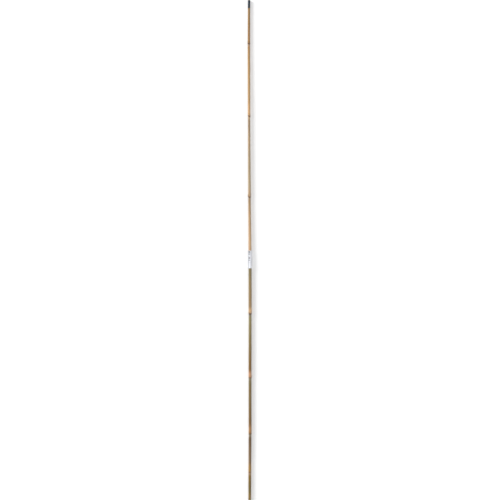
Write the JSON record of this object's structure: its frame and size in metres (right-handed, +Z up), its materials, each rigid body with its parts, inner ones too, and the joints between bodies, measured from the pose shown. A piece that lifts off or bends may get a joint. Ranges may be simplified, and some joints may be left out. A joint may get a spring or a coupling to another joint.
{
  "type": "bamboo cane",
  "caption": "Long slender bamboo garden cane with ring-like nodes, a dipped paint tip and a paper label wrapped round its middle.",
  "frame": {"origin": "on the surface the cane lies on, under the middle of its bounding box", "axes": "+Y along the cane from its sawn butt to its painted tip, +Z up, +X across it"},
  "size_m": [0.016, 1.8, 0.0124],
  "materials": {
    "bamboo": "smooth dry cane skin, satin, streaked straw and olive brown",
    "tip_paint": "dipped paint, dark slate blue, semi-gloss",
    "label_paper": "coated white label paper with plain printed bars"
  },
  "bodies": {
    "root": {"culm": "bamboo", "tip_coat": "tip_paint", "label": "label_paper"}
  },
  "joints": []
}
